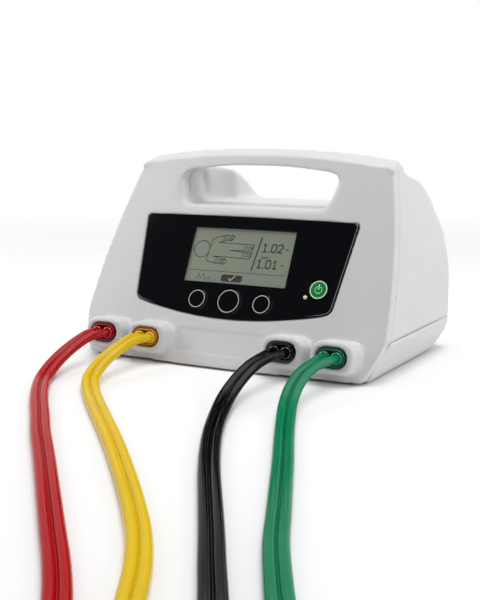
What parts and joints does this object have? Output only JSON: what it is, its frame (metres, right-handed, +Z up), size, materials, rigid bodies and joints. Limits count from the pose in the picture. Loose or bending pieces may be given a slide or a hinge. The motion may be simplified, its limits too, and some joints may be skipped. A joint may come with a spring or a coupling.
{
  "type": "ankle brachial index system",
  "caption": "Bench unit with a reclined fascia, handle bar, screen and key panel, and coloured twin air hoses plugged into its front.",
  "frame": {"origin": "middle of the footprint of the unit without its hoses, on the table", "axes": "+X to the right seen from the front, +Y to the rear, +Z up"},
  "size_m": [0.5613, 0.7456, 0.1592],
  "materials": {
    "shell_front": "fine satin moulding",
    "shell_rear": "fine satin moulding",
    "panel_gloss": "gloss black",
    "screen_clear": "clear, polished",
    "screen_body": "reflective screen",
    "board": "solder mask",
    "metal": "plain",
    "power_green": "gloss",
    "light_cream": "clear tinted",
    "dark_plastic": "plain",
    "foot_rubber": "matt",
    "clear_tube": "clear tube",
    "battery_wrap": "shrink wrap",
    "strap": "woven strap",
    "connector": "plain",
    "port_red": "dark socket",
    "plug_red": "gloss moulding",
    "hose_red": "gloss twin hose",
    "port_yellow": "dark socket",
    "plug_yellow": "gloss moulding",
    "hose_yellow": "gloss twin hose",
    "port_black": "dark socket",
    "plug_black": "gloss moulding",
    "hose_black": "gloss twin hose",
    "port_green": "dark socket",
    "plug_green": "gloss moulding",
    "hose_green": "gloss twin hose"
  },
  "bodies": {
    "housing": {"front_shell": "shell_front", "rear_shell": "shell_rear", "base_tray": "shell_rear", "display_panel": "panel_gloss", "screen_window": "screen_clear", "screen_module": "screen_body", "keypad_board": "board", "key_switches": "metal", "status_light": "light_cream", "port_red": "port_red", "port_yellow": "port_yellow", "port_black": "port_black", "port_green": "port_green", "plug_red": "plug_red", "plug_yellow": "plug_yellow", "plug_black": "plug_black", "plug_green": "plug_green", "hose_red": "hose_red", "hose_yellow": "hose_yellow", "hose_black": "hose_black", "hose_green": "hose_green", "coil_red": "hose_red", "coil_yellow": "hose_yellow", "coil_black": "hose_black", "coil_green": "hose_green", "tie_red": "strap", "tie_yellow": "strap", "tie_black": "strap", "tie_green": "strap", "connector_red": "connector", "connector_yellow": "connector", "connector_black": "connector", "connector_green": "connector", "main_board": "board", "pressure_sensors": "dark_plastic", "pump_left": "metal", "pump_right": "metal", "pump_cradles": "foot_rubber", "valve_manifold": "metal", "solenoid_valves": "metal", "inner_tubes": "clear_tube", "battery_pack": "battery_wrap", "battery_door": "shell_rear", "door_screws": "metal", "power_inlet": "dark_plastic", "data_socket": "metal", "feet": "foot_rubber", "case_screws": "metal"},
    "key_left": {"key_left": "panel_gloss"},
    "key_middle": {"key_middle": "panel_gloss"},
    "key_right": {"key_right": "panel_gloss"},
    "power_button": {"power_button": "power_green"}
  },
  "joints": [
    {"name": "key_left_press", "type": "slide", "parent": "housing", "child": "key_left", "axis": [0, 0.8942, -0.4478], "range_m": [0, 0.0006], "stiffness_N_per_m": 1500},
    {"name": "key_middle_press", "type": "slide", "parent": "housing", "child": "key_middle", "axis": [0, 0.8942, -0.4478], "range_m": [0, 0.0006], "stiffness_N_per_m": 1500},
    {"name": "key_right_press", "type": "slide", "parent": "housing", "child": "key_right", "axis": [0, 0.8942, -0.4478], "range_m": [0, 0.0006], "stiffness_N_per_m": 1500},
    {"name": "power_button_press", "type": "slide", "parent": "housing", "child": "power_button", "axis": [0, 0.8942, -0.4478], "range_m": [0, 0.0006], "stiffness_N_per_m": 1500}
  ]
}
